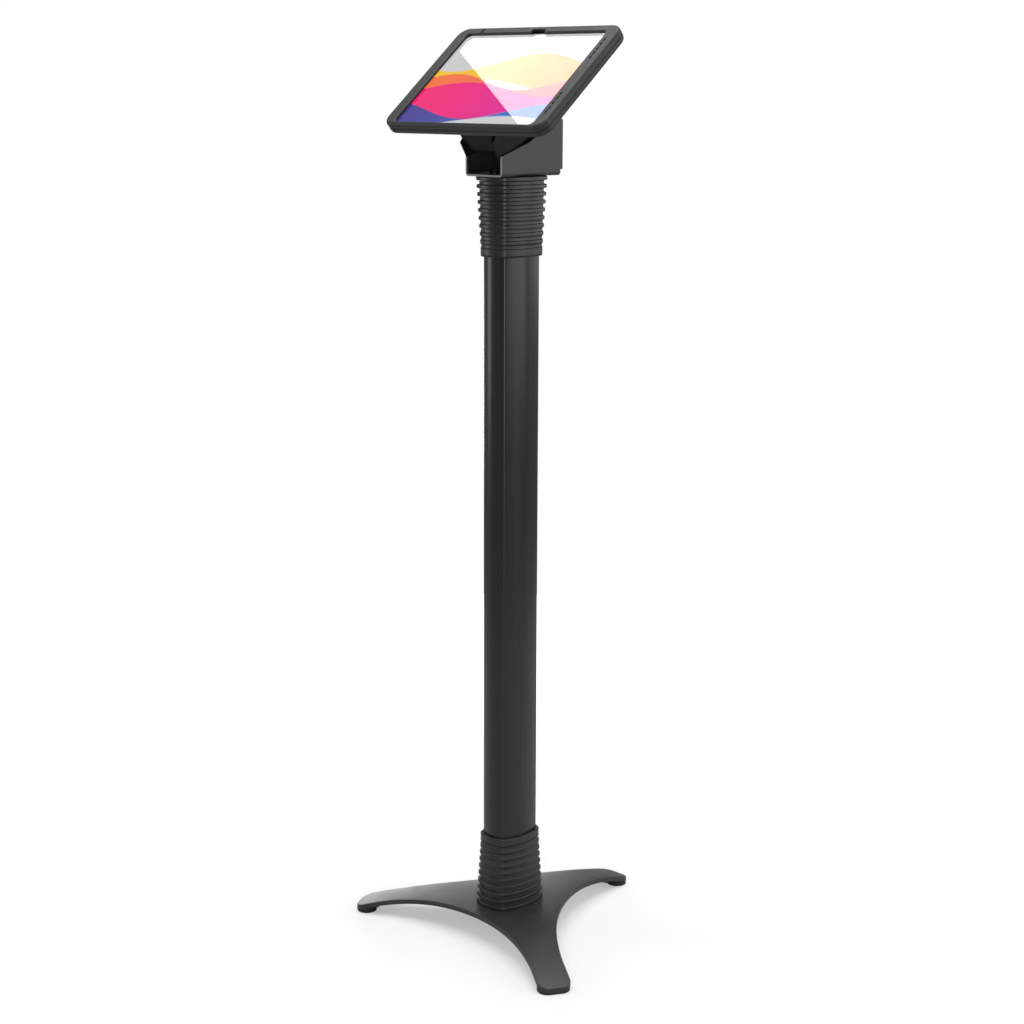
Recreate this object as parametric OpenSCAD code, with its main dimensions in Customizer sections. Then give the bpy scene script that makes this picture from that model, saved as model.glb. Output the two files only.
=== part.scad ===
/* [Base] */
// Reach of each leg from the middle of the plate
leg_reach = 205; // [170:1:240]
// Width of a leg at its end
leg_w = 40.5; // [36:0.5:52]
// Corner radius at the end of a leg
tip_r = 13; // [6:0.5:16]
// Straight run of a leg's sides behind its rounded end
leg_flat = 16; // [4:1:24]
// Thickness of the base plate
plate_t = 6; // [5:0.5:7]
// Height of the plate's top at the hub
hub_top = 36.4; // [32:0.2:44]
// Height of the plate's top at the end of a leg
tip_top = 8.2; // [7.6:0.1:10]
// Radius of the level middle of the plate
hub_r = 35; // [28:1:40]
// Length of a rubber foot along its leg
pad_l = 17; // [14:1:24]
// Distance from the column axis back to the middle of the plate
base_back = 3.8; // [0:0.2:6]

/* [Column] */
// Length of the column above the base plate
column_h = 902.9; // [800:0.1:1000]
// Overall width of the column, side to side
column_w = 48.2; // [46:0.2:54]
// Overall depth of the column, front to back
column_d = 67.4; // [64:0.2:72]
// Radius of the bowed left and right faces
side_r = 69.5; // [60:0.5:80]
// Radius of the bowed front and back faces
face_r = 34.2; // [33.8:0.1:36]
// Radius of the four soft arrises
arris_r = 5; // [4:0.5:6]
// Wall of the column
column_wall = 2.2; // [1.8:0.1:3]
// Wall of the inner mast
mast_wall = 2; // [1.5:0.1:3]
// Gap between the column and the mast that the guides fill
guide_gap = 2.4; // [2:0.1:3]
// Height that the mast can be drawn out
height_travel = 200; // [120:1:240]

/* [Sleeves] */
// Height of a ribbed sleeve
sleeve_h = 92.6; // [80:0.2:110]
// Number of ribs on a sleeve
rib_count = 9; // [6:1:10]
// Height of the plain band at the narrow end
band_h = 9.8; // [6:0.1:14]
// Rib height over the column at the wide end
rib_wide = 9.2; // [7:0.1:11]
// Rib height over the column at the narrow end
rib_narrow = 4.4; // [4:0.1:6]
// Groove floor over the column at the wide end
groove_wide = 5.4; // [4:0.1:6.5]
// Groove floor over the column at the narrow end
groove_narrow = 3.2; // [2.6:0.1:3.8]

/* [Head] */
// Width of the head bracket
bracket_w = 60; // [58:0.5:66]
// Reach of the head bracket in front of the column axis
bracket_front = 46.5; // [42:0.5:52]
// Reach of the head bracket behind the column axis
bracket_rear = 55; // [50:0.5:60]
// Sheet thickness of the two brackets
sheet_t = 2.5; // [2:0.1:3]
// Outer radius of the bracket's folds
fold_r = 4; // [3.2:0.1:6]
// Height of the bracket's cheeks at their front edge
cheek_h = 23.7; // [20:0.1:28]
// Height of the tilt axis over the bracket's underside
pivot_h = 68.2; // [64:0.2:74]
// Tilt axis behind the column axis
pivot_y = 22; // [16:0.5:26]
// Diameter of a pivot bolt
pivot_d = 8; // [6:0.5:9]
// Radius of the ears round the tilt axis
ear_r = 13; // [11:0.5:15]
// Angle of the screen from level
tilt = 40; // [30:1:50]

/* [Case] */
// Width of the tablet
tablet_w = 232; // [200:0.5:300]
// Height of the tablet
tablet_h = 163; // [140:0.5:220]
// Thickness of the tablet
tablet_t = 7; // [6:0.1:9]
// How far the case's lip covers the glass
lip_cover = 2.5; // [2.2:0.1:4]
// Room in the case on the tablet's left and right
side_room = 12.5; // [11:0.5:18]
// Room in the case over the tablet's upper edge
upper_room = 7; // [6:0.5:12]
// Room in the case under the tablet's lower edge
lower_room = 0.5; // [0.3:0.1:4]
// Room in the case behind the tablet
back_room = 3.5; // [3:0.1:6]
// Height of the case's lip over the glass
lip_h = 4; // [3:0.1:5]
// Outer corner radius of the case
case_r = 16; // [14:0.5:20]
// Wall of the case
case_wall = 2.5; // [2:0.1:2.6]
// Front edge rounding of the case
lip_r = 4; // [2:0.1:4.2]
// Back edge rounding of the case
back_r = 5; // [3:0.1:6]
// Distance of the tilt axis below the case's back
pivot_drop = 46.6; // [44:0.2:52]
// Distance of the tilt axis above the screen's middle, along the screen
pivot_up = 6.1; // [0:0.1:12]
// Speaker slots in a row
slot_count = 5; // [3:1:6]
// Distance from slot to slot
slot_pitch = 7.6; // [6.8:0.1:8]

/* [Hidden] */
$fn = 96;

black_paint = "#2b2b2c";
black_plastic = "#303031";
black_rubber = "#1f1f20";
zinc = "#a9abad";
brass = "#b58f45";
nylon = "#d9d6cc";
alloy = "#b9bcc0";

// Clearances
fit = 0.1;
gap = 0.3;
through = 1;

// Legs and the arched plate
leg_angles = [90, 210, 330];
leg_turn = 60;
tip_start = leg_reach - tip_r;
hollow_start = tip_start - leg_flat;
side_dip = 0.3;
hollow_r = hollow_start * tan(leg_turn) - leg_w / 2 + side_dip;
hollow_at = hollow_start / cos(leg_turn);
arch_run = leg_reach - hub_r;
arch_drop = hub_top - tip_top;
arch_r = (arch_run * arch_run + arch_drop * arch_drop) / (2 * arch_drop);
arch_facets = 720;
hub_under = hub_top - plate_t;
pad_inset = 0.5;

// The box of the stand is centred on the origin, so the column stands ahead of it
tip_side = leg_w / 2 - tip_r;
front_reach = tip_start * cos(leg_turn) + tip_side * sin(leg_turn) + tip_r;
column_y = (front_reach - leg_reach) / 2 - base_back;

// Column section
least_arris = 1;
side_back = side_r - column_w / 2;
face_back = face_r - column_d / 2;
bore = -column_wall;
mast_out = bore - guide_gap;
mast_in = mast_out - mast_wall;

// Heights
column_top = hub_top + column_h;
bush_flange = 2.4;
sleeve_top = column_top + bush_flange;
bracket_z = sleeve_top + gap + fit;
bush_skirt = 33;
guide_h = 40;
guide_lip = 3;
spare_travel = 5;
mast_bottom = column_top - bush_skirt - height_travel - guide_h - spare_travel;
foot_h = 40;
cap_h = 26;

// Ribs of the sleeves
rib_pitch = (sleeve_h - band_h) / rib_count;
band_rise = 0.7;
band_out = groove_narrow + band_rise;
lip_edge = 0.8;

// Fasteners of the base and the head
base_bolt_d = 8;
base_bolt_x = 9;
base_bolt_y = 17;
base_bolt_grip = 18;
base_bolt_head = 5.3;
base_bolt_hex = 13;
foot_screw_d = 5;
foot_screw_up = 26;
foot_screw_z = hub_top + foot_screw_up;
foot_screw_l = 10;
head_bolt_d = 6;
head_bolt_x = 9;
head_bolt_y = 19;
head_bolt_grip = 16;
head_bolt_hex = 10;
washer_t = 1.6;
socket_share = 0.5;

// Height lock
lock_z = column_top - bush_skirt / 2;
lock_d = 8;
lock_body_d = 11;
lock_flange_d = 15;
lock_flange_t = 1;
lock_key_d = 10;
lock_pad_d = 10;
lock_l = 7;

// Head bracket and tilt axis
pivot_z = bracket_z + pivot_h;
cheek_in = bracket_w / 2 - sheet_t;
friction_t = 0.5;
flange_out = cheek_in - friction_t;
flange_in = flange_out - sheet_t;
ear_angle = 60;
knee_y = -1.4;
knee_h = 38.6;
shoulder_h = 44.7;
ear_shoulder = [pivot_y + ear_r * cos(ear_angle), pivot_h + ear_r * sin(ear_angle)];
rear_h = ear_shoulder[1] - (bracket_rear - ear_shoulder[0]) / tan(ear_angle);
rear_wall_h = 50;
channel_h = pivot_h + 3 * ear_r;
relief_in = 1;
relief_d = 5;
relief_h = 7;
spring_t = 1.2;
nut_t = 4.3;
nut_hex = 13;
nut_in = flange_in - spring_t - nut_t;
head_t = 4;

// Outer sizes of the case
case_deep = tablet_t + back_room + case_wall;
case_w = tablet_w + 2 * side_room + 2 * case_wall;
case_up = tablet_h / 2 + upper_room + case_wall;
case_down = tablet_h / 2 + lower_room + case_wall;
case_h = case_up + case_down;
screen_w = tablet_w - 2 * lip_cover;
screen_h = tablet_h - 2 * lip_cover;

// Tilt bracket, along the screen and down from the case's back
web_up = 55;
web_down = 71;
neck = 60;
neck_run = 5;
neck_low = 15;
nose = 74.5;
nose_low = 17.5;
chin = 77.5;
chin_low = 36.5;
heel = 64;
heel_low = 42;
tongue_w = 48;
tongue_r = 10;
tongue_low = 32.7;
tilt_ear_r = 12;
plate_screw_x = 15;
plate_screw_up = 34;
plate_screw_d = 4;
plate_screw_head = 2.5;
insert_d = 6;
insert_room = 0.6;
insert_h = case_deep - tablet_t - insert_room - 2 * fit - through;

// Case
case_mid = (case_up - case_down) / 2;
parting = -4.5;
groove_w = 0.8;
groove_deep = 1;
floor_z = -case_deep + case_wall;
lip_under = 0.3;
opening_r = 6;
opening_chamfer = 1.2;
boss_d = 8;
boss_in = case_wall + side_room / 2;
boss_end = 14.25;
boss_top = -5;
case_screw_d = 3;
case_screw_head = 5.5;
case_screw_sunk = 2;
stop_t = 2;
stop_l = 50;
stop_top = -1;
side_stops = [-40, 15];
upper_stops = [-40, 60];

// Cut-outs in the lip
slot_l = 5.6;
slot_w = 2.2;
slot_row = 46;
slot_off = 2.3;
slot_x = (screen_w / 2 + opening_chamfer + case_w / 2 - lip_r) / 2;
notch_w = 22;
notch_deep = 5.5;
notch_r = 2;
notch_x = 4;
slit_w = 3;
slit_x = -90;
slit_deep = 1.5;

// Tablet
tablet_r = 10;
tablet_skin = 1.2;
glass_t = 0.9;
display_t = 1.5;
camera_d = 1.6;
camera_up = (tablet_h - lip_cover) / 2;
cushion_l = 60;
cushion_w = 9;
cushion_x = 70;
cushion_up = 52;
board_w = 24;
board_end = 10.3;
board_h = tablet_h - 2 * tablet_skin - 2 * board_end;
board_t = 1.6;
cell_side = 6.8;
cell_end = 20.3;
cell_over = 0.7;
cell_w = tablet_w / 2 - tablet_skin - board_w / 2 - through - cell_side;
cell_x = (board_w + cell_w) / 2 + through;
cell_h = tablet_h - 2 * tablet_skin - 2 * cell_end;
cell_t = tablet_t - tablet_skin - glass_t - fit - display_t - cell_over;

// Button covers
button_l = 13;
button_h = 5;
button_z = -3.9;
button_proud = 0.8;
button_travel = 0.8;
button_flange = 1;
button_lip = 1.2;
plunger_d = 3;
volume_x = -92;
volume_step = 16;
power_up = 56;

// Corner of two circles that are centred on the two axes, in the quarter where x and y are positive
function arris_centre(m, n) =
    let (k0 = (m * m - n * n - side_back * side_back + face_back * face_back) / (2 * side_back),
         k1 = face_back / side_back,
         a = k1 * k1 + 1,
         b = 2 * k0 * k1 + 2 * face_back,
         c = k0 * k0 + face_back * face_back - n * n,
         y = (-b + sqrt(b * b - 4 * a * c)) / (2 * a))
    [k0 + k1 * y, y];

// Section of the column, moved out by grow: four bowed faces with soft arrises
module column_section(grow = 0) {
    arris = max(arris_r + grow, least_arris);
    side = side_r + grow;
    face = face_r + grow;
    corner = arris_centre(side - arris, face - arris);
    side_touch = corner[1] * side / (side - arris);
    face_touch = corner[0] * face / (face - arris);
    intersection() {
        translate([0, face_back]) circle(r = face);
        translate([0, -face_back]) circle(r = face);
        square([2 * face_touch, 2 * column_d], center = true);
    }
    intersection() {
        translate([side_back, 0]) circle(r = side);
        translate([-side_back, 0]) circle(r = side);
        square([2 * column_w, 2 * side_touch], center = true);
    }
    for (sx = [-1, 1], sy = [-1, 1])
        translate([sx * corner[0], sy * corner[1]]) circle(r = arris);
}

module on_column(z = 0) {
    translate([0, column_y, z]) children();
}

module column_slab(z, h, grow) {
    on_column(z) linear_extrude(h) column_section(grow);
}

// Origin at the middle of the screen on the glass: x across, y up the screen, z out of the glass
module on_screen() {
    translate([0, column_y + pivot_y, pivot_z]) rotate([tilt, 0, 0])
        translate([0, -pivot_up, pivot_drop + case_deep]) children();
}

// Rod along X that starts at x
module x_rod(x, l, d) {
    translate([x, 0, 0]) rotate([0, 90, 0]) cylinder(h = l, d = d);
}

module hex_bar(across, h) {
    cylinder(h = h, d = across / cos(30), $fn = 6);
}

module ring(d_out, d_in, h) {
    difference() {
        cylinder(h = h, d = d_out);
        translate([0, 0, -through]) cylinder(h = h + 2 * through, d = d_in);
    }
}

module round_rect(w, h, r) {
    square([w - 2 * r, h], center = true);
    square([w, h - 2 * r], center = true);
    for (sx = [-1, 1], sy = [-1, 1])
        translate([sx * (w / 2 - r), sy * (h / 2 - r)]) circle(r = r);
}

// Sweeps a flat profile round a rounded rectangle. The profile's x runs out from the corner's centre.
module swept_rim(w, h, r) {
    for (half = [0, 180]) rotate(half) {
        translate([w / 2 - r, h / 2 - r, 0]) {
            rotate([90, 0, 0]) linear_extrude(h - 2 * r) children();
            rotate_extrude(angle = 90) children();
        }
        rotate(90) translate([h / 2 - r, w / 2 - r, 0]) {
            rotate([90, 0, 0]) linear_extrude(w - 2 * r) children();
            rotate_extrude(angle = 90) children();
        }
    }
}

// Base

// Triangle hollowed by an arc at each corner, with a round-cornered tip on each leg
module star_outline() {
    difference() {
        rotate(30) circle(r = hollow_at, $fn = 3);
        for (a = leg_angles) rotate(a + 180) translate([hollow_at, 0]) circle(r = hollow_r);
    }
    for (a = leg_angles) rotate(a) leg_end(2 * leg_flat);
}

// End of a leg with straight sides of the given length, drawn in all round by inset
module leg_end(straight, inset = 0) {
    translate([tip_start - straight, inset - leg_w / 2]) square([straight, leg_w - 2 * inset]);
    translate([tip_start - straight, -tip_side]) square([straight + tip_r - inset, 2 * tip_side]);
    for (s = [-1, 1]) translate([tip_start, s * tip_side]) circle(r = tip_r - inset);
}

module on_base() {
    on_column() translate([0, base_back, 0]) children();
}

// Section of the pressed plate: level at the hub, then an arc down to the tips
module arch_section() {
    translate([0, hub_under]) square([hub_r, plate_t]);
    intersection() {
        translate([hub_r, hub_top - arch_r]) difference() {
            circle(r = arch_r, $fn = arch_facets);
            circle(r = arch_r - plate_t, $fn = arch_facets);
        }
        translate([hub_r, -hub_top]) square([leg_reach, 2 * hub_top]);
    }
}

module under_arch_section() {
    intersection() {
        translate([hub_r, hub_top - arch_r]) circle(r = arch_r - plate_t - fit / 2, $fn = arch_facets);
        translate([hub_r, 0]) square([leg_reach, hub_top]);
    }
}

module at_base_bolts() {
    for (sx = [-1, 1], sy = [-1, 1])
        on_column() translate([sx * base_bolt_x, sy * base_bolt_y, 0]) children();
}

module base_plate() {
    color(black_paint) difference() {
        on_base() intersection() {
            rotate_extrude() arch_section();
            translate([0, 0, -through]) linear_extrude(hub_top + 2 * through) star_outline();
        }
        at_base_bolts() cylinder(h = hub_top + through, d = base_bolt_d + 2 * gap);
    }
}

module foot_pads() {
    color(black_rubber) on_base() intersection() {
        linear_extrude(hub_top) for (a = leg_angles) rotate(a) leg_end(pad_l - tip_r, pad_inset);
        rotate_extrude() under_arch_section();
    }
}

module base_washers() {
    color(zinc) at_base_bolts() translate([0, 0, hub_under - washer_t])
        ring(2 * base_bolt_d, base_bolt_d + 2 * fit, washer_t);
}

module base_bolts() {
    head_z = hub_under - washer_t;
    color(zinc) at_base_bolts() {
        translate([0, 0, head_z - base_bolt_head]) hex_bar(base_bolt_hex, base_bolt_head);
        translate([0, 0, head_z]) cylinder(h = plate_t + washer_t + base_bolt_grip, d = base_bolt_d);
    }
}

// Column

module at_foot_screws() {
    for (s = [0, 180]) on_column(foot_screw_z) rotate(s) children();
}

module column_foot() {
    color(alloy) difference() {
        column_slab(hub_top, foot_h, bore - fit);
        at_base_bolts() translate([0, 0, hub_top - through])
            cylinder(h = base_bolt_grip + 2 * through, d = base_bolt_d + 2 * fit);
        at_foot_screws() x_rod(column_w / 2 - foot_screw_l - through, foot_screw_l, foot_screw_d + 2 * fit);
    }
}

module foot_screws() {
    color(zinc) at_foot_screws() translate([column_w / 2 - gap - foot_screw_l, 0, 0]) rotate([0, 90, 0])
        socket_rod(foot_screw_l, foot_screw_d);
}

module column_tube() {
    color(black_paint) difference() {
        column_slab(hub_top, column_h, 0);
        column_slab(hub_top - through, column_h + 2 * through, bore);
        at_foot_screws() x_rod(0, column_w, foot_screw_d + 2 * fit);
        at_lock() translate([0, 0, -lock_flange_d / 2])
            cylinder(h = lock_flange_d, d = lock_body_d + 2 * fit);
    }
}

// Ribbed sleeve with its wide end down, standing on z = 0
module sleeve_body() {
    for (i = [0 : rib_count - 1]) {
        share = i / (rib_count - 1);
        translate([0, 0, i * rib_pitch]) linear_extrude(rib_pitch / 2)
            column_section(rib_wide + share * (rib_narrow - rib_wide));
        translate([0, 0, (i + 0.5) * rib_pitch]) linear_extrude(rib_pitch / 2)
            column_section(groove_wide + share * (groove_narrow - groove_wide));
    }
    translate([0, 0, rib_count * rib_pitch]) {
        linear_extrude(band_h - lip_edge) column_section(band_out);
        translate([0, 0, band_h - lip_edge]) linear_extrude(lip_edge) column_section(band_out - lip_edge);
    }
}

module ribbed_sleeve() {
    difference() {
        sleeve_body();
        translate([0, 0, -through]) linear_extrude(sleeve_h + 2 * through) column_section(fit);
    }
}

module lower_sleeve() {
    color(black_rubber) on_column(hub_top) ribbed_sleeve();
}

module upper_sleeve() {
    color(black_rubber) difference() {
        on_column(sleeve_top) mirror([0, 0, 1]) ribbed_sleeve();
        at_lock() translate([0, 0, -lock_flange_d]) cylinder(h = 2 * lock_flange_d, d = lock_key_d);
        at_lock() translate([0, 0, -lock_flange_d])
            cylinder(h = lock_flange_d + lock_flange_t + gap, d = lock_flange_d + 2 * gap);
    }
}

module guide_bush() {
    color(black_plastic) difference() {
        union() {
            column_slab(column_top, bush_flange, -fit);
            column_slab(column_top - bush_skirt, bush_skirt, bore - fit);
        }
        column_slab(column_top - bush_skirt - through, 2 * bush_skirt, mast_out + fit);
        at_lock() translate([0, 0, -column_wall - 2 * guide_gap])
            cylinder(h = 2 * guide_gap, d = lock_pad_d + 2 * gap);
    }
}

// Height lock: origin on the column's back face, z pointing backwards
module at_lock() {
    translate([0, column_y + column_d / 2, lock_z]) rotate([-90, 0, 0]) children();
}

module lock_insert() {
    color(brass) at_lock() {
        translate([0, 0, -column_wall]) ring(lock_body_d, lock_d + 2 * fit, column_wall + fit);
        translate([0, 0, fit]) ring(lock_flange_d, lock_d + 2 * fit, lock_flange_t);
    }
}

module lock_screw() {
    color(zinc) at_lock() translate([0, 0, -column_wall]) socket_rod(lock_l, lock_d);
}

module lock_pad() {
    color(nylon) at_lock() translate([0, 0, -column_wall - guide_gap + fit])
        cylinder(h = guide_gap - fit, d = lock_pad_d);
}

// Mast

module inner_mast() {
    mast_start = mast_bottom + guide_lip;
    color(alloy) difference() {
        column_slab(mast_start, bracket_z - mast_start, mast_out);
        column_slab(mast_start - through, bracket_z - mast_start + 2 * through, mast_in);
    }
}

module mast_guide() {
    color(black_plastic) difference() {
        column_slab(mast_bottom, guide_h, bore - fit);
        column_slab(mast_bottom + guide_lip, guide_h, mast_out + fit);
        column_slab(mast_bottom - through, guide_h, mast_in);
    }
}

module at_head_bolts() {
    for (sx = [-1, 1], sy = [-1, 1])
        on_column(bracket_z) translate([sx * head_bolt_x, sy * head_bolt_y, 0]) children();
}

module mast_cap() {
    color(alloy) difference() {
        column_slab(bracket_z - cap_h, cap_h, mast_in - fit);
        at_head_bolts() translate([0, 0, -head_bolt_grip - through])
            cylinder(h = head_bolt_grip + 2 * through, d = head_bolt_d + 2 * fit);
    }
}

// Head bracket

// U of the folded channel, seen from the front
module channel_section() {
    translate([0, channel_h / 2]) difference() {
        round_rect(bracket_w, channel_h, fold_r);
        translate([0, sheet_t]) round_rect(2 * cheek_in, channel_h, fold_r - sheet_t);
    }
}

// Cheek of the channel, seen from the side: y behind the column axis, z over the underside
module cheek_outline() {
    difference() {
        polygon([[-bracket_front, 0], [bracket_rear, 0], [bracket_rear, rear_h], ear_shoulder,
            [pivot_y, pivot_h], [pivot_y - ear_r, pivot_h], [pivot_y - ear_r, shoulder_h],
            [knee_y, knee_h], [-bracket_front, cheek_h]]);
        translate([bracket_rear - fold_r, 0]) difference() {
            square(fold_r);
            translate([0, fold_r]) circle(r = fold_r);
        }
    }
    translate([pivot_y, pivot_h]) circle(r = ear_r);
}

// Extrudes a side view across the width: its x runs backwards and its y upwards
module across(w) {
    translate([-w / 2, 0, 0]) rotate([90, 0, 90]) linear_extrude(w) children();
}

module head_bracket() {
    color(black_paint) difference() {
        on_column(bracket_z) intersection() {
            union() {
                translate([0, bracket_rear, 0]) rotate([90, 0, 0])
                    linear_extrude(bracket_front + bracket_rear) channel_section();
                translate([-cheek_in, bracket_rear - sheet_t, 0]) cube([2 * cheek_in, sheet_t, rear_wall_h]);
            }
            across(2 * bracket_w) cheek_outline();
        }
        for (s = [-1, 1]) on_column(bracket_z) translate([s * bracket_w / 2, bracket_rear, 0])
            cube([2 * sheet_t + 2 * relief_in, 2 * relief_d, 2 * relief_h], center = true);
        at_head_bolts() translate([0, 0, -through]) cylinder(h = 3 * sheet_t, d = head_bolt_d + 2 * gap);
        on_pivot() x_rod(-bracket_w, 2 * bracket_w, pivot_d + 2 * fit);
    }
}

module head_washers() {
    color(zinc) at_head_bolts() translate([0, 0, sheet_t])
        ring(2 * head_bolt_d, head_bolt_d + 2 * fit, washer_t);
}

module head_bolts() {
    head_z = sheet_t + washer_t;
    color(zinc) at_head_bolts() {
        translate([0, 0, head_z]) hex_bar(head_bolt_hex, head_t);
        translate([0, 0, -head_bolt_grip]) cylinder(h = head_bolt_grip + head_z, d = head_bolt_d);
    }
}

// Tilt axis

module on_pivot() {
    translate([0, column_y + pivot_y, pivot_z]) children();
}

// The same on both sides, with z pointing outwards
module both_ends() {
    on_pivot() {
        rotate([0, 90, 0]) children();
        mirror([1, 0, 0]) rotate([0, 90, 0]) children();
    }
}

module pivot_bolts() {
    color(zinc) both_ends() {
        translate([0, 0, nut_in - through]) cylinder(h = bracket_w / 2 - nut_in + through, d = pivot_d);
        translate([0, 0, bracket_w / 2]) difference() {
            cylinder(h = head_t, d = 2 * pivot_d);
            translate([0, 0, head_t / 2]) hex_bar(socket_share * pivot_d, head_t);
        }
    }
}

module friction_washers() {
    color(nylon) both_ends() translate([0, 0, flange_out + fit / 2])
        ring(2 * ear_r - 2 * through, pivot_d + 2 * fit, friction_t - fit / 2);
}

module spring_washers() {
    color(zinc) both_ends() translate([0, 0, flange_in - spring_t])
        ring(2 * pivot_d, pivot_d + 2 * fit, spring_t - fit / 2);
}

module pivot_nuts() {
    color(zinc) both_ends() translate([0, 0, nut_in]) difference() {
        hex_bar(nut_hex, nut_t);
        translate([0, 0, -through]) cylinder(h = nut_t + 2 * through, d = pivot_d + 2 * fit);
    }
}

// Tilt bracket

module on_back() {
    on_screen() translate([0, 0, -case_deep]) children();
}

// Point where a line from p touches a circle
function touch(p, c, r, side) =
    let (l = norm(c - p), a = atan2(c[1] - p[1], c[0] - p[0]) + side * asin(r / l))
    p + sqrt(l * l - r * r) * [cos(a), sin(a)];

// Flange seen from the side: x up the screen, y out of the case's back
module flange_outline() {
    pivot = [pivot_up, -pivot_drop];
    low = [-heel, -heel_low];
    back = [web_up, 0];
    polygon([back, [-neck, 0], [-neck - neck_run, -neck_low], [-nose, -nose_low], [-chin, -chin_low], low,
        touch(low, pivot, tilt_ear_r, -1), pivot, touch(back, pivot, tilt_ear_r, 1)]);
    translate(pivot) circle(r = tilt_ear_r);
}

module tongue_outline() {
    translate([-tongue_w / 2, -tongue_low + tongue_r]) square([tongue_w, tongue_low - tongue_r]);
    translate([-tongue_w / 2 + tongue_r, -tongue_low]) square([tongue_w - 2 * tongue_r, tongue_low]);
    for (s = [-1, 1]) translate([s * (tongue_w / 2 - tongue_r), -tongue_low + tongue_r]) circle(r = tongue_r);
}

module at_plate_screws() {
    for (sx = [-1, 1], sy = [-1, 1])
        on_back() translate([sx * plate_screw_x, sy * plate_screw_up, 0]) children();
}

module tilt_bracket() {
    color(black_paint) difference() {
        on_back() {
            translate([-flange_out, -web_down, -sheet_t]) cube([2 * flange_out, web_up + web_down, sheet_t]);
            for (x = [-flange_out, flange_in]) translate([x, 0, 0]) rotate([90, 0, 90])
                linear_extrude(sheet_t) flange_outline();
            translate([0, sheet_t - web_down, 0]) rotate([90, 0, 0]) linear_extrude(sheet_t) tongue_outline();
        }
        at_plate_screws() translate([0, 0, -2 * sheet_t])
            cylinder(h = 3 * sheet_t, d = plate_screw_d + 2 * gap);
        on_pivot() x_rod(-bracket_w, 2 * bracket_w, pivot_d + 2 * fit);
    }
}

module plate_screws() {
    color(zinc) at_plate_screws() {
        translate([0, 0, -sheet_t - plate_screw_head]) difference() {
            cylinder(h = plate_screw_head, d = 2 * plate_screw_d);
            translate([0, 0, -plate_screw_head / 2]) hex_bar(socket_share * plate_screw_d, plate_screw_head);
        }
        translate([0, 0, -sheet_t]) cylinder(h = sheet_t + insert_h, d = plate_screw_d);
    }
}

module case_inserts() {
    color(brass) at_plate_screws() translate([0, 0, fit]) ring(insert_d, plate_screw_d + 2 * fit, insert_h);
}

// Case

module in_case() {
    on_screen() translate([0, case_mid, 0]) children();
}

module at_bosses() {
    for (sx = [-1, 1], sy = [-1, 1])
        in_case() translate([sx * (case_w / 2 - boss_in), sy * (case_h / 2 - boss_end), 0]) children();
}

// Wall of the back shell, rounded into its floor, with a tongue inside the parting groove
module back_section() {
    translate([case_r - back_r, -case_deep + back_r]) intersection() {
        difference() {
            circle(r = back_r);
            circle(r = back_r - case_wall);
        }
        translate([0, -back_r]) square(back_r);
    }
    translate([case_r - back_r - through, -case_deep]) square([through, case_wall]);
    translate([case_r - case_wall, -case_deep + back_r])
        square([case_wall, parting - groove_w / 2 + case_deep - back_r]);
    translate([case_r - case_wall, -case_deep + back_r])
        square([case_wall - groove_deep, parting + groove_w / 2 + case_deep - back_r]);
}

// Wall of the front frame, rounded into its lip
module front_section() {
    translate([case_r - lip_r, lip_h - lip_r]) intersection() {
        circle(r = lip_r);
        square(lip_r);
    }
    translate([case_r - lip_r - through, lip_under]) square([lip_r, lip_h - lip_r - lip_under + through]);
    translate([case_r - lip_r - through, lip_under]) square([through, lip_h - lip_under]);
    translate([case_r - case_wall, parting + groove_w / 2])
        square([case_wall, lip_h - lip_r - parting - groove_w / 2]);
}

// Openings in both walls for the button covers
module button_cuts() {
    for (i = [0 : 2]) at_buttons(i) translate([0, 0, -2 * case_wall])
        linear_extrude(3 * case_wall) stadium(button_l + 2 * gap, button_h + 2 * gap);
}

// Upright ribs that keep the tablet in its place
module locating_ribs() {
    h = stop_top - floor_z;
    for (s = [-1, 1], y = side_stops)
        translate([s * (tablet_w / 2 + gap + stop_t / 2), y, floor_z + h / 2])
            cube([stop_t, stop_l, h], center = true);
    for (x = upper_stops)
        translate([x, tablet_h / 2 + gap + stop_t / 2, floor_z + h / 2])
            cube([stop_l, stop_t, h], center = true);
}

module case_back() {
    color(black_plastic) difference() {
        union() {
            in_case() translate([0, 0, -case_deep]) linear_extrude(case_wall)
                round_rect(case_w - 2 * back_r, case_h - 2 * back_r, case_r - back_r);
            in_case() swept_rim(case_w, case_h, case_r) back_section();
            on_screen() locating_ribs();
            at_bosses() translate([0, 0, floor_z - fit]) cylinder(h = boss_top - floor_z, d = boss_d);
            at_plate_screws() cylinder(h = insert_h + 2 * fit, d = insert_d + 2 * case_wall);
        }
        at_bosses() translate([0, 0, -case_deep - through])
            cylinder(h = case_deep, d = case_screw_d + 2 * fit);
        at_bosses() translate([0, 0, -case_deep - through])
            cylinder(h = through + case_screw_sunk + gap, d = case_screw_head + 2 * gap);
        at_plate_screws() translate([0, 0, -through]) cylinder(h = case_deep, d = insert_d + fit);
        button_cuts();
    }
}

module lip_cuts() {
    for (row = [-1, 1], i = [0 : slot_count - 1])
        translate([slot_x, row * slot_row + slot_off + (i - (slot_count - 1) / 2) * slot_pitch, -through])
            linear_extrude(lip_h + 2 * through) rotate(90) stadium(slot_l, slot_w);
    translate([notch_x, screen_h / 2 + notch_deep - notch_r, -through]) linear_extrude(lip_h + 2 * through) {
        stadium(notch_w, 2 * notch_r);
        translate([-notch_w / 2, -notch_deep]) square([notch_w, notch_deep]);
    }
    translate([slit_x - slit_w / 2, screen_h / 2 - through, lip_h - slit_deep])
        cube([slit_w, case_up - screen_h / 2, lip_h]);
}

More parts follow.
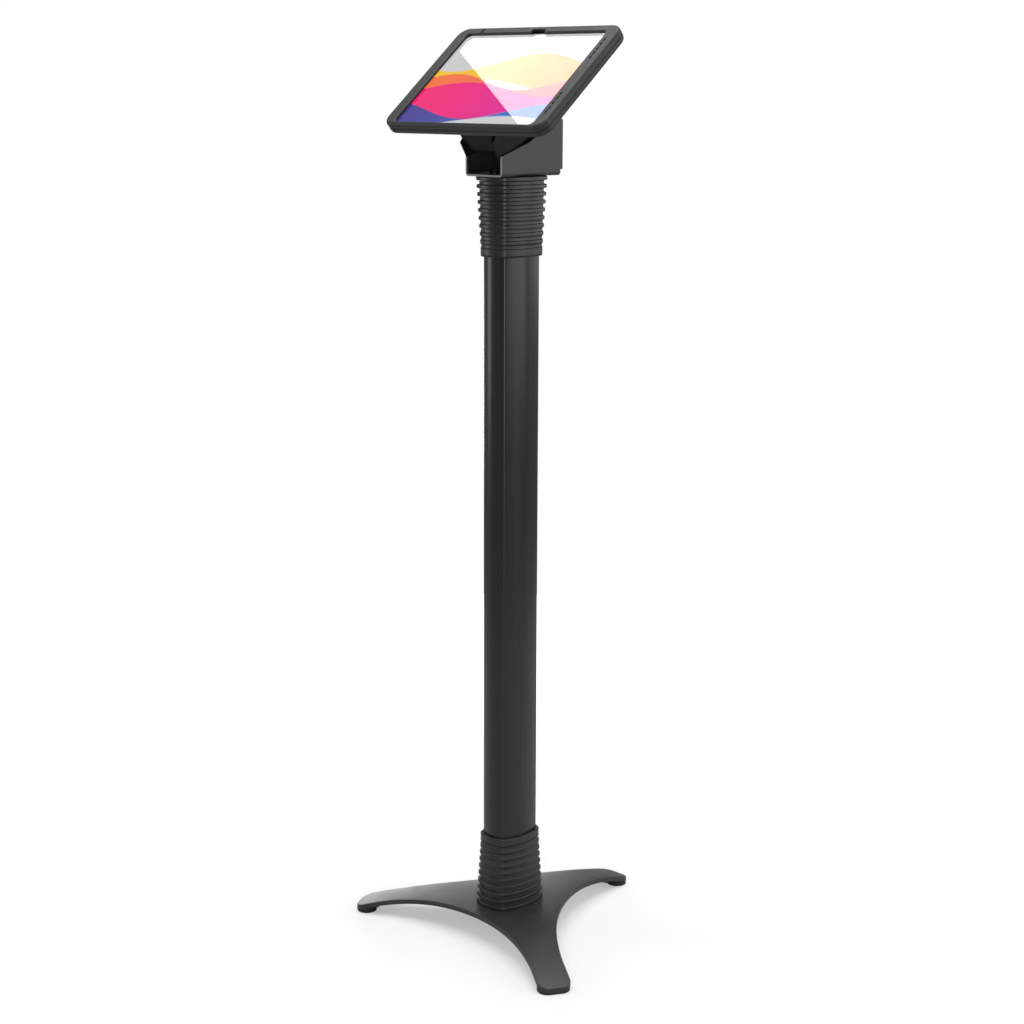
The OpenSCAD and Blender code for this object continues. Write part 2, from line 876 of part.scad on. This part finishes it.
// Slope round the screen opening
module opening_slope() {
    swept_rim(screen_w, screen_h, opening_r)
        polygon([[opening_r - through, lip_h - opening_chamfer - through],
            [opening_r + opening_chamfer + through, lip_h + through],
            [opening_r - through, lip_h + through]]);
}

module case_front() {
    color(black_plastic) difference() {
        union() {
            difference() {
                in_case() translate([0, 0, lip_under]) linear_extrude(lip_h - lip_under)
                    round_rect(case_w - 2 * lip_r, case_h - 2 * lip_r, case_r - lip_r);
                on_screen() translate([0, 0, -through]) linear_extrude(lip_h + 2 * through)
                    round_rect(screen_w, screen_h, opening_r);
            }
            in_case() swept_rim(case_w, case_h, case_r) front_section();
            at_bosses() translate([0, 0, boss_top]) cylinder(h = lip_under - boss_top + fit, d = boss_d);
        }
        on_screen() opening_slope();
        on_screen() lip_cuts();
        at_bosses() translate([0, 0, boss_top - through])
            cylinder(h = through - boss_top, d = case_screw_d + 2 * fit);
        button_cuts();
    }
}

module case_screws() {
    color(zinc) at_bosses() translate([0, 0, gap - case_deep]) {
        difference() {
            cylinder(h = case_screw_sunk, d = case_screw_head);
            translate([0, 0, -case_screw_sunk / 2]) hex_bar(socket_share * case_screw_d, case_screw_sunk);
        }
        translate([0, 0, case_screw_sunk])
            cylinder(h = case_deep - case_screw_sunk - through, d = case_screw_d);
    }
}

module cushion_pads() {
    color(black_rubber) for (sx = [-1, 1], sy = [-1, 1])
        on_screen() translate([sx * cushion_x, sy * cushion_up, floor_z])
            linear_extrude(-tablet_t - fit - floor_z) stadium(cushion_l, cushion_w);
}

// Tablet

module tablet_slab(z, h, inset) {
    on_screen() translate([0, 0, z]) linear_extrude(h)
        round_rect(tablet_w - 2 * inset, tablet_h - 2 * inset, tablet_r - inset);
}

module tablet_body() {
    color(alloy) difference() {
        tablet_slab(-tablet_t, tablet_t - glass_t, 0);
        tablet_slab(tablet_skin - tablet_t, tablet_t, tablet_skin);
    }
}

module tablet_battery() {
    color("dimgray") for (s = [-1, 1])
        on_screen() translate([s * cell_x, 0, tablet_skin - tablet_t + cell_t / 2])
            cube([cell_w, cell_h, cell_t], center = true);
}

module tablet_board() {
    color("darkgreen") on_screen() translate([0, 0, tablet_skin - tablet_t + board_t / 2])
        cube([board_w, board_h, board_t], center = true);
}

module tablet_display() {
    color("white") tablet_slab(-glass_t - fit - display_t, display_t, tablet_skin + fit);
}

module at_camera() {
    on_screen() translate([notch_x, camera_up, -glass_t]) children();
}

module tablet_glass() {
    color("whitesmoke") difference() {
        tablet_slab(-glass_t, glass_t, 0);
        at_camera() translate([0, 0, -through]) cylinder(h = glass_t + 2 * through, d = camera_d + 2 * fit);
    }
}

module front_camera() {
    color("black") at_camera() cylinder(h = glass_t - fit, d = camera_d);
}

// Button covers: origin on the case's wall, z pointing out of it.
// 0 and 1 are on the upper edge, 2 is on the left edge.
module at_buttons(i) {
    if (i < 2)
        on_screen() translate([volume_x + (i - 0.5) * volume_step, case_up, button_z])
            rotate([-90, 0, 0]) children();
    else
        on_screen() translate([-case_w / 2, power_up, button_z]) rotate([0, -90, 0]) rotate(90) children();
}

module stadium(l, h) {
    square([l - h, h], center = true);
    for (s = [-1, 1]) translate([s * (l - h) / 2, 0]) circle(d = h);
}

module button_cover(tablet_edge) {
    seat = -case_wall - gap;
    translate([0, 0, seat]) linear_extrude(button_proud - seat) stadium(button_l, button_h);
    translate([0, 0, seat - button_flange]) linear_extrude(button_flange)
        stadium(button_l + 2 * button_lip, button_h + 2 * button_lip);
    translate([0, 0, tablet_edge + button_travel + gap])
        cylinder(h = seat - tablet_edge - button_travel - gap, d = plunger_d);
}

module volume_up_button() {
    color(black_rubber) at_buttons(1) button_cover(tablet_h / 2 - case_up);
}

module volume_down_button() {
    color(black_rubber) at_buttons(0) button_cover(tablet_h / 2 - case_up);
}

module power_button() {
    color(black_rubber) at_buttons(2) button_cover((tablet_w - case_w) / 2);
}

// Grub screw with a hexagon socket in its far end
module socket_rod(l, d) {
    difference() {
        cylinder(h = l, d = d);
        translate([0, 0, l - socket_share * d]) hex_bar(socket_share * d, d);
    }
}

base_plate();
foot_pads();
base_washers();
base_bolts();
column_foot();
foot_screws();
column_tube();
lower_sleeve();
upper_sleeve();
guide_bush();
lock_insert();
lock_screw();
lock_pad();
inner_mast();
mast_guide();
mast_cap();
head_bracket();
head_washers();
head_bolts();
pivot_bolts();
friction_washers();
spring_washers();
pivot_nuts();
tilt_bracket();
plate_screws();
case_inserts();
case_back();
case_front();
case_screws();
cushion_pads();
tablet_body();
tablet_battery();
tablet_board();
tablet_display();
tablet_glass();
front_camera();
power_button();
volume_up_button();
volume_down_button();
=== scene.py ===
import math

import bmesh
import bpy
from mathutils import Matrix, Vector


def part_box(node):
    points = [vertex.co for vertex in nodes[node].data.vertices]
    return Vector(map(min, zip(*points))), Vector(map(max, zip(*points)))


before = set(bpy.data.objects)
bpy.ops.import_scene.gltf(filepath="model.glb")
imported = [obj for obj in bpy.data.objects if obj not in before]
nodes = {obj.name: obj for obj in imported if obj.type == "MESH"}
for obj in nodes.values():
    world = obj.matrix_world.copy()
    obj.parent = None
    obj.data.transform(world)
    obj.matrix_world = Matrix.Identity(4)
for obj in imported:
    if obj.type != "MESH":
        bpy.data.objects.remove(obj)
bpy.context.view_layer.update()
print("frame loaded:", len(nodes), "nodes")


# Small helpers for shader trees

def newMaterial(name):
    material = bpy.data.materials.new(name)
    material.use_nodes = True
    tree = material.node_tree
    tree.nodes.clear()
    output = tree.nodes.new("ShaderNodeOutputMaterial")
    shader = tree.nodes.new("ShaderNodeBsdfPrincipled")
    tree.links.new(shader.outputs["BSDF"], output.inputs["Surface"])
    return material, tree, shader


def plug(tree, value, socket):
    # a number goes on the socket, another node's output is linked to it
    if isinstance(value, bpy.types.NodeSocket):
        tree.links.new(value, socket)
    else:
        socket.default_value = value


def calc(tree, operation, a, b=0.0, c=0.0):
    node = tree.nodes.new("ShaderNodeMath")
    node.operation = operation
    for value, socket in zip((a, b, c), node.inputs):
        plug(tree, value, socket)
    return node.outputs[0]


def smoothStep(tree, value, low, high):
    node = tree.nodes.new("ShaderNodeMapRange")
    node.interpolation_type = "SMOOTHSTEP"
    plug(tree, value, node.inputs["Value"])
    plug(tree, low, node.inputs["From Min"])
    plug(tree, high, node.inputs["From Max"])
    return node.outputs["Result"]


def blendColours(tree, share, a, b):
    node = tree.nodes.new("ShaderNodeMix")
    node.data_type = "RGBA"
    plug(tree, share, node.inputs[0])
    plug(tree, a, node.inputs[6])
    plug(tree, b, node.inputs[7])
    return node.outputs[2]


def objectPoint(tree, stretch=(1, 1, 1)):
    where = tree.nodes.new("ShaderNodeTexCoord")
    mapping = tree.nodes.new("ShaderNodeMapping")
    mapping.inputs["Scale"].default_value = stretch
    tree.links.new(where.outputs["Object"], mapping.inputs["Vector"])
    return mapping.outputs["Vector"]


def noise(tree, point, scale, detail=2.0, roughness=0.5):
    node = tree.nodes.new("ShaderNodeTexNoise")
    node.inputs["Scale"].default_value = scale
    node.inputs["Detail"].default_value = detail
    node.inputs["Roughness"].default_value = roughness
    tree.links.new(point, node.inputs["Vector"])
    return node.outputs["Fac"]


def spread(tree, value, low, high):
    # noise runs from about 0.3 to 0.7
    node = tree.nodes.new("ShaderNodeMapRange")
    tree.links.new(value, node.inputs["Value"])
    node.inputs["From Min"].default_value = 0.3
    node.inputs["From Max"].default_value = 0.7
    node.inputs["To Min"].default_value = low
    node.inputs["To Max"].default_value = high
    return node.outputs["Result"]


def bump(tree, shader, height, depth):
    node = tree.nodes.new("ShaderNodeBump")
    node.inputs["Strength"].default_value = 1.0
    node.inputs["Distance"].default_value = depth
    tree.links.new(height, node.inputs["Height"])
    tree.links.new(node.outputs["Normal"], shader.inputs["Normal"])


def srgb(red, green, blue):
    # a colour as a paint chart gives it, 0 to 255
    def linear(level):
        level = level / 255
        return level / 12.92 if level <= 0.04045 else ((level + 0.055) / 1.055) ** 2.4
    return (linear(red), linear(green), linear(blue), 1.0)


def paintedEdgeHighlight(tree, shade, edge):
    # a painted highlight: a paler line along a sheet's edge where it would catch the light; the edge is the
    # furthest part of a node in one direction
    towards = Vector(edge["towards"])
    corners = [vertex.co for vertex in nodes[edge["node"]].data.vertices]
    reach = max(corner.dot(towards) for corner in corners if abs(corner.x) < edge["halfWidth"])
    where = tree.nodes.new("ShaderNodeTexCoord")
    along = tree.nodes.new("ShaderNodeVectorMath")
    along.operation = "DOT_PRODUCT"
    along.inputs[1].default_value = towards
    tree.links.new(where.outputs["Object"], along.inputs[0])
    near = smoothStep(tree, along.outputs["Value"], reach - edge["depth"], reach - edge["depth"] / 3)
    apart = tree.nodes.new("ShaderNodeSeparateXYZ")
    tree.links.new(where.outputs["Object"], apart.inputs["Vector"])
    sideways = calc(tree, "ABSOLUTE", apart.outputs["X"])
    within = smoothStep(tree, sideways, edge["halfWidth"] + edge["depth"] / 3, edge["halfWidth"])
    return blendColours(tree, calc(tree, "MULTIPLY", near, within), shade, srgb(*edge["tone"]))


def grainedFinish(name, look):
    # a base colour that drifts a little, a roughness that drifts with it, and a fine surface grain
    material, tree, shader = newMaterial(name)
    point = objectPoint(tree, look.get("stretch", (1, 1, 1)))
    drift = noise(tree, point, look["driftScale"], 3.0)
    shade = blendColours(tree, spread(tree, drift, 0, 1), srgb(*look["dark"]), srgb(*look["light"]))
    # a look may add a painted highlight along one sheet edge
    if "paintedEdgeHighlight" in look:
        shade = paintedEdgeHighlight(tree, shade, look["paintedEdgeHighlight"])
    tree.links.new(shade, shader.inputs["Base Color"])
    low, high = look["roughness"]
    tree.links.new(spread(tree, drift, low, high), shader.inputs["Roughness"])
    grain = noise(tree, point, look["grainScale"], 2.0, 0.6)
    bump(tree, shader, grain, look["grainDepth"])
    shader.inputs["Metallic"].default_value = look.get("metallic", 0.0)
    shader.inputs["Specular IOR Level"].default_value = look.get("specular", 0.5)
    return material


# Finishes

powderCoat = {"dark": (34, 34, 35), "light": (40, 40, 41), "driftScale": 40, "roughness": (0.36, 0.44),
              "grainScale": 1500, "grainDepth": 0.00006, "specular": 0.5}
columnCoat = {"dark": (31, 31, 32), "light": (35, 35, 36), "driftScale": 60, "roughness": (0.24, 0.3),
              "grainScale": 1800, "grainDepth": 0.00003, "specular": 0.38, "stretch": (1, 1, 0.02)}
# the head bracket's front sheet edge gets a painted highlight
headCoat = dict(powderCoat, paintedEdgeHighlight={"node": "head_bracket", "towards": (0, -1, 0), "halfWidth": 0.05,
                                     "depth": 0.0009, "tone": (128, 128, 130)})
# painted shade: the tilt bracket's paint is darker than the other black paint, standing in for the shade
# under the case; its tongue's lower edge gets a painted highlight
paintedShadeBracketCoat = {"dark": (9, 9, 10), "light": (13, 13, 14), "driftScale": 40, "roughness": (0.5, 0.58),
               "grainScale": 1500, "grainDepth": 0.00006, "specular": 0.16,
               "paintedEdgeHighlight": {"node": "tilt_bracket", "towards": (0, 0.643, -0.766), "halfWidth": 0.0255,
                           "depth": 0.0016, "tone": (205, 205, 207)}}
casePlastic = {"dark": (28, 28, 29), "light": (34, 34, 35), "driftScale": 50, "roughness": (0.44, 0.52),
               "grainScale": 2600, "grainDepth": 0.00006, "specular": 0.4}
sleeveRubber = {"dark": (27, 27, 28), "light": (32, 32, 33), "driftScale": 30, "roughness": (0.36, 0.44),
                "grainScale": 1200, "grainDepth": 0.00004, "specular": 0.5}
footRubber = {"dark": (26, 26, 26), "light": (34, 34, 34), "driftScale": 60, "roughness": (0.6, 0.75),
              "grainScale": 1500, "grainDepth": 0.0001, "specular": 0.4}
bushPlastic = {"dark": (30, 30, 30), "light": (36, 36, 36), "driftScale": 60, "roughness": (0.45, 0.55),
               "grainScale": 1800, "grainDepth": 0.00005}
zincPlate = {"dark": (176, 178, 180), "light": (205, 206, 207), "driftScale": 180, "roughness": (0.25, 0.4),
             "grainScale": 2500, "grainDepth": 0.00003, "metallic": 1.0}
blackOxide = {"dark": (38, 38, 40), "light": (54, 54, 56), "driftScale": 200, "roughness": (0.35, 0.5),
              "grainScale": 2500, "grainDepth": 0.00003, "metallic": 1.0}
brassTurned = {"dark": (176, 136, 66), "light": (206, 170, 96), "driftScale": 200, "roughness": (0.25, 0.4),
               "grainScale": 2500, "grainDepth": 0.00003, "metallic": 1.0}
nylonWhite = {"dark": (212, 208, 196), "light": (228, 224, 212), "driftScale": 80, "roughness": (0.4, 0.5),
              "grainScale": 1200, "grainDepth": 0.00003}
satinAlloy = {"dark": (176, 178, 182), "light": (196, 198, 201), "driftScale": 60, "roughness": (0.3, 0.4),
              "grainScale": 1500, "grainDepth": 0.00002, "metallic": 1.0, "stretch": (1, 1, 0.02)}
cellWrap = {"dark": (52, 53, 56), "light": (60, 61, 64), "driftScale": 40, "roughness": (0.4, 0.55),
            "grainScale": 800, "grainDepth": 0.00004}
boardMask = {"dark": (20, 66, 40), "light": (30, 84, 52), "driftScale": 300, "roughness": (0.3, 0.4),
             "grainScale": 2000, "grainDepth": 0.00004}

finishes = {
    "powderCoat": (powderCoat, ["base_plate"]),
    "headCoat": (headCoat, ["head_bracket"]),
    "paintedShadeBracketCoat": (paintedShadeBracketCoat, ["tilt_bracket"]),
    "columnCoat": (columnCoat, ["column_tube"]),
    "casePlastic": (casePlastic, ["case_back", "case_front"]),
    "sleeveRubber": (sleeveRubber, ["lower_sleeve", "upper_sleeve"]),
    "footRubber": (footRubber, ["foot_pads", "cushion_pads", "power_button", "volume_up_button",
                                "volume_down_button"]),
    "bushPlastic": (bushPlastic, ["guide_bush", "mast_guide"]),
    "zincPlate": (zincPlate, ["base_washers", "base_bolts", "foot_screws", "pivot_bolts", "spring_washers",
                              "pivot_nuts"]),
    "blackOxide": (blackOxide, ["head_bolts", "head_washers", "lock_screw", "plate_screws", "case_screws"]),
    "brassTurned": (brassTurned, ["lock_insert", "case_inserts"]),
    "nylonWhite": (nylonWhite, ["lock_pad", "friction_washers"]),
    "satinAlloy": (satinAlloy, ["inner_mast", "mast_cap", "column_foot", "tablet_body"]),
    "cellWrap": (cellWrap, ["tablet_battery"]),
    "boardMask": (boardMask, ["tablet_board"]),
}


def wear(nodeName, material):
    slots = nodes[nodeName].data.materials
    slots.clear()
    slots.append(material)


for finishName, (look, wearers) in finishes.items():
    finish = grainedFinish(finishName, look)
    for wearer in wearers:
        wear(wearer, finish)
print("finishes made:", len(finishes))


# The lit display: soft ribbons of colour that run across a pale ground

screen = {"tilt": math.radians(40), "glassThickness": 0.0009, "halfWidth": 0.11, "ground": (214, 214, 216),
          "panel": (0.002, 0.002, 0.002, 1), "panelRoughness": 0.4, "edge": 0.0012, "glow": 1.06}
upScreen = Vector((0, math.cos(screen["tilt"]), math.sin(screen["tilt"])))
outOfScreen = Vector((0, -math.sin(screen["tilt"]), math.cos(screen["tilt"])))


def middleOf(nodeName):
    low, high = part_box(nodeName)
    return (Vector(low) + Vector(high)) / 2


glassMiddle = middleOf("tablet_glass") + outOfScreen * screen["glassThickness"] / 2

# each ribbon: colours at its left and right, height of its two edges, their swing, wave length and phase
ribbons = [
    {"left": (255, 206, 40), "right": (255, 152, 44), "top": (0.030, 0.016, 0.26, 0.6),
     "foot": (-0.012, 0.012, 0.31, 2.2)},
    {"left": (255, 120, 60), "right": (255, 92, 96), "top": (-0.004, 0.014, 0.24, 3.6),
     "foot": (-0.020, 0.010, 0.29, 2.7)},
    {"left": (255, 12, 120), "right": (226, 20, 160), "top": (-0.017, 0.012, 0.28, 2.6),
     "foot": (-0.058, 0.012, 0.25, 5.2)},
    {"left": (70, 60, 150), "right": (46, 120, 214), "top": (-0.054, 0.014, 0.27, 5.0),
     "foot": (-0.072, 0.010, 0.33, 0.4)},
]


def screenPoint(tree):
    where = tree.nodes.new("ShaderNodeTexCoord")
    mapping = tree.nodes.new("ShaderNodeMapping")
    mapping.vector_type = "TEXTURE"
    mapping.inputs["Location"].default_value = glassMiddle
    mapping.inputs["Rotation"].default_value = (screen["tilt"], 0, 0)
    tree.links.new(where.outputs["Object"], mapping.inputs["Vector"])
    apart = tree.nodes.new("ShaderNodeSeparateXYZ")
    tree.links.new(mapping.outputs["Vector"], apart.inputs["Vector"])
    return apart.outputs["X"], apart.outputs["Y"]


def waveHeight(tree, across, wave):
    height, swing, length, phase = wave
    angle = calc(tree, "MULTIPLY_ADD", across, 2 * math.pi / length, phase)
    return calc(tree, "MULTIPLY_ADD", calc(tree, "SINE", angle), swing, height)


def displayFinish():
    material, tree, shader = newMaterial("litDisplay")
    across, upwards = screenPoint(tree)
    colour = srgb(*screen["ground"])
    share = smoothStep(tree, across, -screen["halfWidth"], screen["halfWidth"])
    for ribbon in ribbons:
        top = calc(tree, "SUBTRACT", waveHeight(tree, across, ribbon["top"]), upwards)
        foot = calc(tree, "SUBTRACT", upwards, waveHeight(tree, across, ribbon["foot"]))
        inside = calc(tree, "MINIMUM", top, foot)
        mask = smoothStep(tree, inside, -screen["edge"], screen["edge"])
        hue = blendColours(tree, share, srgb(*ribbon["left"]), srgb(*ribbon["right"]))
        colour = blendColours(tree, mask, colour, hue)
    shader.inputs["Base Color"].default_value = screen["panel"]
    shader.inputs["Roughness"].default_value = screen["panelRoughness"]
    shader.inputs["Specular IOR Level"].default_value = 0.0
    tree.links.new(colour, shader.inputs["Emission Color"])
    shader.inputs["Emission Strength"].default_value = screen["glow"]
    return material


coverGlass = {"ior": 1.5, "smearScale": 30, "roughness": (0.0, 0.015)}


def glassFinish():
    material, tree, shader = newMaterial("coverGlass")
    shader.inputs["Base Color"].default_value = (1, 1, 1, 1)
    shader.inputs["Transmission Weight"].default_value = 1.0
    shader.inputs["IOR"].default_value = coverGlass["ior"]
    smear = noise(tree, objectPoint(tree), coverGlass["smearScale"], 3.0)
    low, high = coverGlass["roughness"]
    tree.links.new(spread(tree, smear, low, high), shader.inputs["Roughness"])
    return material


cameraLens = {"dark": (8, 8, 10), "light": (30, 28, 44), "driftScale": 900, "roughness": 0.05}


def lensFinish():
    material, tree, shader = newMaterial("lensGlass")
    drift = noise(tree, objectPoint(tree), cameraLens["driftScale"], 1.0)
    shade = blendColours(tree, drift, srgb(*cameraLens["dark"]), srgb(*cameraLens["light"]))
    tree.links.new(shade, shader.inputs["Base Color"])
    shader.inputs["Roughness"].default_value = cameraLens["roughness"]
    shader.inputs["Coat Weight"].default_value = 1.0
    return material


wear("tablet_display", displayFinish())
wear("tablet_glass", glassFinish())
wear("front_camera", lensFinish())
print("screen made:", len(ribbons), "ribbons")


# Soft edges, as pressed, moulded and cut pieces have. Widths in metres.

softEdges = {
    "base_plate": 0.0008, "head_bracket": 0.0005, "tilt_bracket": 0.0005, "column_tube": 0.0003,
    "lower_sleeve": 0.0011, "upper_sleeve": 0.0011, "case_front": 0.00015, "case_back": 0.00015,
    "foot_pads": 0.0004, "power_button": 0.0005, "volume_up_button": 0.0005, "volume_down_button": 0.0005,
    "base_bolts": 0.0003, "base_washers": 0.0002, "head_bolts": 0.0003, "head_washers": 0.0002,
    "pivot_bolts": 0.0004, "pivot_nuts": 0.0003, "inner_mast": 0.0003, "tablet_glass": 0.0002,
    "tablet_display": 0.0002,
}

ringShaped = ["case_front", "tablet_glass", "tablet_display"]  # their flat faces stay cut up

edgeTools = {"weldWithin": 0.000002, "flatWithin": math.radians(0.3), "sharpFrom": math.radians(35),
             "segments": 3, "flatWeight": 80}


def softenEdges(nodeName, width):
    piece = nodes[nodeName]
    weld = piece.modifiers.new("weldFaces", "WELD")
    weld.merge_threshold = edgeTools["weldWithin"]
    if nodeName not in ringShaped:
        flat = piece.modifiers.new("joinFlats", "DECIMATE")
        flat.decimate_type = "DISSOLVE"
        flat.angle_limit = edgeTools["flatWithin"]
    edge = piece.modifiers.new("softEdge", "BEVEL")
    edge.width = width
    edge.segments = edgeTools["segments"]
    edge.limit_method = "ANGLE"
    edge.angle_limit = edgeTools["sharpFrom"]
    edge.use_clamp_overlap = False
    edge.harden_normals = True
    shine = piece.modifiers.new("evenNormals", "WEIGHTED_NORMAL")
    shine.keep_sharp = True
    shine.weight = edgeTools["flatWeight"]


for edgeNode, edgeWidth in softEdges.items():
    softenEdges(edgeNode, edgeWidth)
print("edges softened:", len(softEdges))


# Camera: where the photographer stood, in degrees and metres

camera = {"place": (1.62347, -1.67497, 1.04693), "turn": 44.912, "down": 12.47, "roll": 0.19,
          "lens": 68.06, "sensor": 36.0}


def addCamera():
    turn, down, roll = (math.radians(camera[key]) for key in ("turn", "down", "roll"))
    ahead = Vector((-math.sin(turn) * math.cos(down), math.cos(turn) * math.cos(down), -math.sin(down)))
    right = Vector((math.cos(turn), math.sin(turn), 0))
    up = right.cross(ahead)
    rolledRight = math.cos(roll) * right + math.sin(roll) * up
    rolledUp = math.cos(roll) * up - math.sin(roll) * right
    data = bpy.data.cameras.new("studioCamera")
    data.lens = camera["lens"]
    data.sensor_width = camera["sensor"]
    data.sensor_fit = "HORIZONTAL"
    viewer = bpy.data.objects.new("studioCamera", data)
    axes = Matrix((rolledRight, rolledUp, -ahead)).transposed().to_4x4()
    viewer.matrix_world = Matrix.Translation(camera["place"]) @ axes
    bpy.context.scene.collection.objects.link(viewer)
    bpy.context.scene.camera = viewer


addCamera()
print("camera placed:", camera["lens"], "mm lens")


# Studio: pale floor that fades into a white surround, and soft boxes

studio = {"floorRadius": 1.6, "floorDark": (180, 180, 181), "floorLight": (186, 186, 186), "driftScale": 3,
          "floorRoughness": 0.7, "rimStart": 0.45, "rimGlow": 1.0, "underGlow": 0.36, "backdrop": 1.0,
          "surround": 0.22}

# size is width and height; bright is the light that a box shows per area, with the white surround as 1
softBoxes = {
    "topBox": {"place": (0, 0, 3.0), "target": (0, 0, 0), "size": (3.0, 3.0), "bright": 3.5},
    "rightBox": {"place": (2.1, 0.9, 1.2), "target": (0, 0, 0.8), "size": (1.8, 1.6), "bright": 2.2},
    "rimBox": {"place": (0.7, 2.2, 1.2), "target": (0, 0, 0.8), "size": (1.8, 1.3), "bright": 1.3},
    "backBox": {"place": (-2.2, 1.3, 0.32), "target": (0, 0, 0.1), "size": (1.6, 0.5), "bright": 6.5},
    "viewerBox": {"place": (2.0, -2.3, 1.0), "target": (0, 0, 0.6), "size": (0.8, 1.8), "bright": 6.0},
    "leftStrip": {"place": (-1.9, -1.35, 1.05), "target": (0, 0, 0.9), "size": (0.6, 1.5), "bright": 3.8},
}

# the straight edge of this box is mirrored in the glass: points on the glass, in metres across and up it
glare = {"edgeStart": (-0.1114, 0.0536), "edgeEnd": (0.0897, -0.0768), "inside": (0.1147, 0.071),
         "distance": 1.4, "longer": 1.8, "wider": 1.5, "bright": 3.0}


def addFloor():
    mesh = bpy.data.meshes.new("studioFloor")
    disc = bmesh.new()
    bmesh.ops.create_circle(disc, cap_ends=True, segments=96, radius=studio["floorRadius"])
    disc.to_mesh(mesh)
    disc.free()
    floor = bpy.data.objects.new("studioFloor", mesh)
    bpy.context.scene.collection.objects.link(floor)
    material, tree, shader = newMaterial("paleFloor")
    point = objectPoint(tree)
    drift = noise(tree, point, studio["driftScale"])
    shade = blendColours(tree, drift, srgb(*studio["floorDark"]), srgb(*studio["floorLight"]))
    tree.links.new(shade, shader.inputs["Base Color"])
    shader.inputs["Roughness"].default_value = studio["floorRoughness"]
    reach = tree.nodes.new("ShaderNodeVectorMath")
    reach.operation = "LENGTH"
    tree.links.new(point, reach.inputs[0])
    rim = smoothStep(tree, reach.outputs["Value"], studio["rimStart"], studio["floorRadius"])
    shader.inputs["Emission Color"].default_value = (1, 1, 1, 1)
    glow = calc(tree, "MULTIPLY_ADD", rim, studio["rimGlow"], studio["underGlow"])
    path = tree.nodes.new("ShaderNodeLightPath")  # the stand mirrors the floor without this glow
    seenGlow = calc(tree, "MULTIPLY", glow, path.outputs["Is Camera Ray"])
    tree.links.new(seenGlow, shader.inputs["Emission Strength"])
    mesh.materials.append(material)


def addSurround():
    # white behind the stand, and a dim room for the light that falls on it
    world = bpy.data.worlds.new("studioSurround")
    world.use_nodes = True
    tree = world.node_tree
    path = tree.nodes.new("ShaderNodeLightPath")
    level = tree.nodes.new("ShaderNodeMapRange")
    tree.links.new(path.outputs["Is Camera Ray"], level.inputs["Value"])
    level.inputs["To Min"].default_value = studio["surround"]
    level.inputs["To Max"].default_value = studio["backdrop"]
    tree.nodes["Background"].inputs["Color"].default_value = (1, 1, 1, 1)
    tree.links.new(level.outputs["Result"], tree.nodes["Background"].inputs["Strength"])
    bpy.context.scene.world = world


def addLamp(name, width, height, bright, axes):
    data = bpy.data.lights.new(name, "AREA")
    data.shape = "RECTANGLE"
    data.size = width
    data.size_y = height
    data.energy = bright * math.pi * width * height
    lamp = bpy.data.objects.new(name, data)
    lamp.matrix_world = axes
    lamp.visible_camera = False
    bpy.context.scene.collection.objects.link(lamp)


def addSoftBox(name, box):
    place = Vector(box["place"])
    turn = (Vector(box["target"]) - place).to_track_quat("-Z", "Y").to_matrix().to_4x4()
    width, height = box["size"]
    addLamp(name, width, height, box["bright"], Matrix.Translation(place) @ turn)


def mirrored(spot):
    # where the camera's ray goes from a spot on the glass
    point = glassMiddle + Vector((spot[0], 0, 0)) + upScreen * spot[1]
    ray = (point - Vector(camera["place"])).normalized()
    return point + ray.reflect(outOfScreen) * glare["distance"]


def addGlareBox():
    first, last, inner = (mirrored(glare[key]) for key in ("edgeStart", "edgeEnd", "inside"))
    along = (last - first).normalized()
    inwards = (inner - first) - along * (inner - first).dot(along)
    height = inwards.length * glare["wider"]
    inwards.normalize()
    width = (last - first).length * glare["longer"]
    middle = (first + last) / 2 + inwards * height / 2
    facing = along.cross(inwards)
    if facing.dot(glassMiddle - middle) > 0:
        along, facing = -along, -facing
    axes = Matrix((along, inwards, facing)).transposed().to_4x4()
    addLamp("glareBox", width, height, glare["bright"], Matrix.Translation(middle) @ axes)


bpy.context.scene.view_settings.view_transform = "Standard"
addFloor()
addSurround()
for boxName, softBox in softBoxes.items():
    addSoftBox(boxName, softBox)
addGlareBox()
print("studio made:", len(softBoxes) + 1, "soft boxes")
